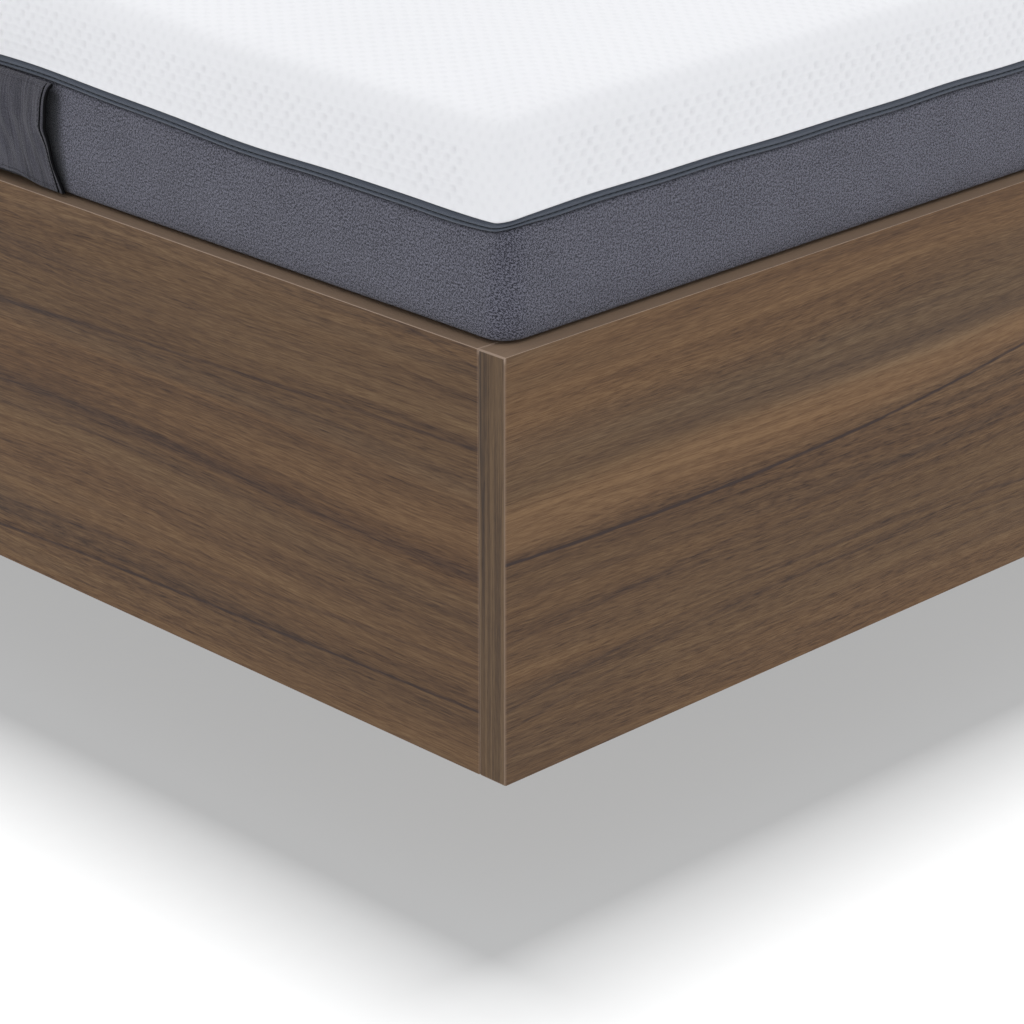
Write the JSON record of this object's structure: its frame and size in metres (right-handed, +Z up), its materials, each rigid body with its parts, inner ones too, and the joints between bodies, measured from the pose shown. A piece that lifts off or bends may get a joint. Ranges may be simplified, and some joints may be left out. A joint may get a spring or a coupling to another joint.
{
  "type": "platform bed with storage drawers",
  "caption": "Floating walnut-decor platform bed on a recessed plinth, with storage drawers under its long sides, a slatted base and a foam mattress let into the frame.",
  "frame": {"origin": "on the floor, under the middle of the bed", "axes": "+X to the right-hand long side seen from the foot, +Y along the bed to the head, +Z up"},
  "size_m": [1.656, 2.056, 0.582],
  "materials": {
    "walnut_decor": "satin",
    "birch_ply": "satin",
    "pine": "matte",
    "black_laminate": "matte",
    "glide_plastic": "matte",
    "zinc_steel": "satin",
    "zinc_casting": "satin",
    "webbing": "matte",
    "grey_knit": "matte",
    "white_knit": "matte",
    "zip_tape": "matte",
    "foam": "matte"
  },
  "bodies": {
    "frame": {"foot_board": "walnut_decor", "head_board": "walnut_decor", "side_rail_left": "walnut_decor", "side_rail_right": "walnut_decor", "base_panel_foot": "birch_ply", "base_panel_middle": "birch_ply", "base_panel_head": "birch_ply", "centre_partition": "birch_ply", "cross_partition_foot": "birch_ply", "cross_partition_middle": "birch_ply", "cross_partition_head": "birch_ply", "plinth_left": "black_laminate", "plinth_right": "black_laminate", "plinth_centre": "black_laminate", "plinth_foot": "black_laminate", "plinth_head": "black_laminate", "glides": "glide_plastic", "slat_cleats": "pine", "centre_bearer": "pine", "slats_left": "pine", "slats_right": "pine", "slat_webbing": "webbing", "corner_brackets": "zinc_steel", "corner_bolts": "zinc_steel", "base_cams": "zinc_casting", "base_cam_pins": "zinc_casting", "base_screws": "zinc_steel", "runner_cabinet_members": "zinc_steel"},
    "drawer_left_foot": {"drawer_front_left_foot": "walnut_decor", "drawer_sides_left_foot": "birch_ply", "drawer_back_left_foot": "birch_ply", "drawer_bottom_left_foot": "birch_ply", "drawer_runners_left_foot": "zinc_steel"},
    "runners_left_foot": {"runner_middle_left_foot": "zinc_steel"},
    "drawer_left_head": {"drawer_front_left_head": "walnut_decor", "drawer_sides_left_head": "birch_ply", "drawer_back_left_head": "birch_ply", "drawer_bottom_left_head": "birch_ply", "drawer_runners_left_head": "zinc_steel"},
    "runners_left_head": {"runner_middle_left_head": "zinc_steel"},
    "drawer_right_foot": {"drawer_front_right_foot": "walnut_decor", "drawer_sides_right_foot": "birch_ply", "drawer_back_right_foot": "birch_ply", "drawer_bottom_right_foot": "birch_ply", "drawer_runners_right_foot": "zinc_steel"},
    "runners_right_foot": {"runner_middle_right_foot": "zinc_steel"},
    "drawer_right_head": {"drawer_front_right_head": "walnut_decor", "drawer_sides_right_head": "birch_ply", "drawer_back_right_head": "birch_ply", "drawer_bottom_right_head": "birch_ply", "drawer_runners_right_head": "zinc_steel"},
    "runners_right_head": {"runner_middle_right_head": "zinc_steel"},
    "mattress": {"mattress_foam_core": "foam", "mattress_foam_layer": "foam", "mattress_lower_cover": "grey_knit", "mattress_top_cover": "white_knit", "mattress_zip": "zip_tape", "mattress_zip_slider": "zinc_casting", "mattress_handles": "grey_knit"}
  },
  "joints": [
    {"name": "drawer_left_foot_slide", "type": "slide", "parent": "frame", "child": "drawer_left_foot", "axis": [-1, 0, 0], "range_m": [0, 0.6]},
    {"name": "drawer_left_head_slide", "type": "slide", "parent": "frame", "child": "drawer_left_head", "axis": [-1, 0, 0], "range_m": [0, 0.6]},
    {"name": "drawer_right_foot_slide", "type": "slide", "parent": "frame", "child": "drawer_right_foot", "axis": [1, 0, 0], "range_m": [0, 0.6]},
    {"name": "drawer_right_head_slide", "type": "slide", "parent": "frame", "child": "drawer_right_head", "axis": [1, 0, 0], "range_m": [0, 0.6]},
    {"name": "runners_left_foot_slide", "type": "slide", "parent": "frame", "child": "runners_left_foot", "axis": [-1, 0, 0], "range_m": [0, 0.3]},
    {"name": "runners_left_head_slide", "type": "slide", "parent": "frame", "child": "runners_left_head", "axis": [-1, 0, 0], "range_m": [0, 0.3]},
    {"name": "runners_right_foot_slide", "type": "slide", "parent": "frame", "child": "runners_right_foot", "axis": [1, 0, 0], "range_m": [0, 0.3]},
    {"name": "runners_right_head_slide", "type": "slide", "parent": "frame", "child": "runners_right_head", "axis": [1, 0, 0], "range_m": [0, 0.3]},
    {"name": "mattress_lift", "type": "slide", "parent": "frame", "child": "mattress", "axis": [0, 0, 1], "range_m": [0, 0.15]}
  ],
  "couplings": [
    {"joint": "runners_left_foot_slide", "follows": "drawer_left_foot_slide", "ratio": 0.5},
    {"joint": "runners_left_head_slide", "follows": "drawer_left_head_slide", "ratio": 0.5},
    {"joint": "runners_right_foot_slide", "follows": "drawer_right_foot_slide", "ratio": 0.5},
    {"joint": "runners_right_head_slide", "follows": "drawer_right_head_slide", "ratio": 0.5}
  ]
}
